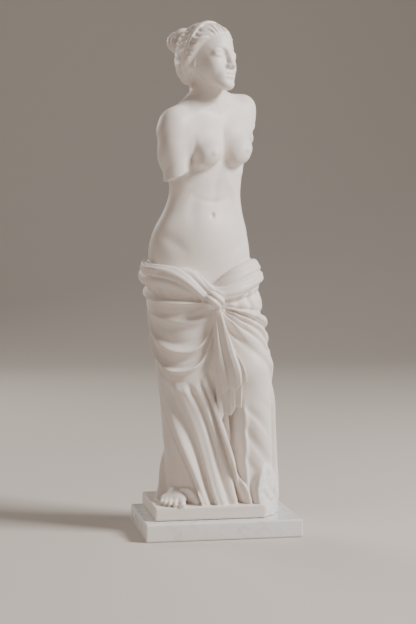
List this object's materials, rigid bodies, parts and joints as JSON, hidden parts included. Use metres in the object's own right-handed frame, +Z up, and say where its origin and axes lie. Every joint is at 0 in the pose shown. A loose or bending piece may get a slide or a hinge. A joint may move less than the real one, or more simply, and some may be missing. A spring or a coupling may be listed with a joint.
{
  "type": "aphrodite statue",
  "caption": "Free-standing statuette of a half-draped goddess with broken arms, in cast white marble on a stepped base with a polished marble slab.",
  "frame": {"origin": "middle of the slab's underside, on the surface it stands on", "axes": "+Z up; the figure faces -Y, and +X is to the right of someone looking at its front"},
  "size_m": [0.092, 0.066, 0.3001],
  "materials": {
    "cast_marble": "matte cast white marble",
    "slab_marble": "honed white marble with faint grey veins"
  },
  "bodies": {
    "root": {"statue": "cast_marble", "base_slab": "slab_marble"}
  },
  "joints": []
}
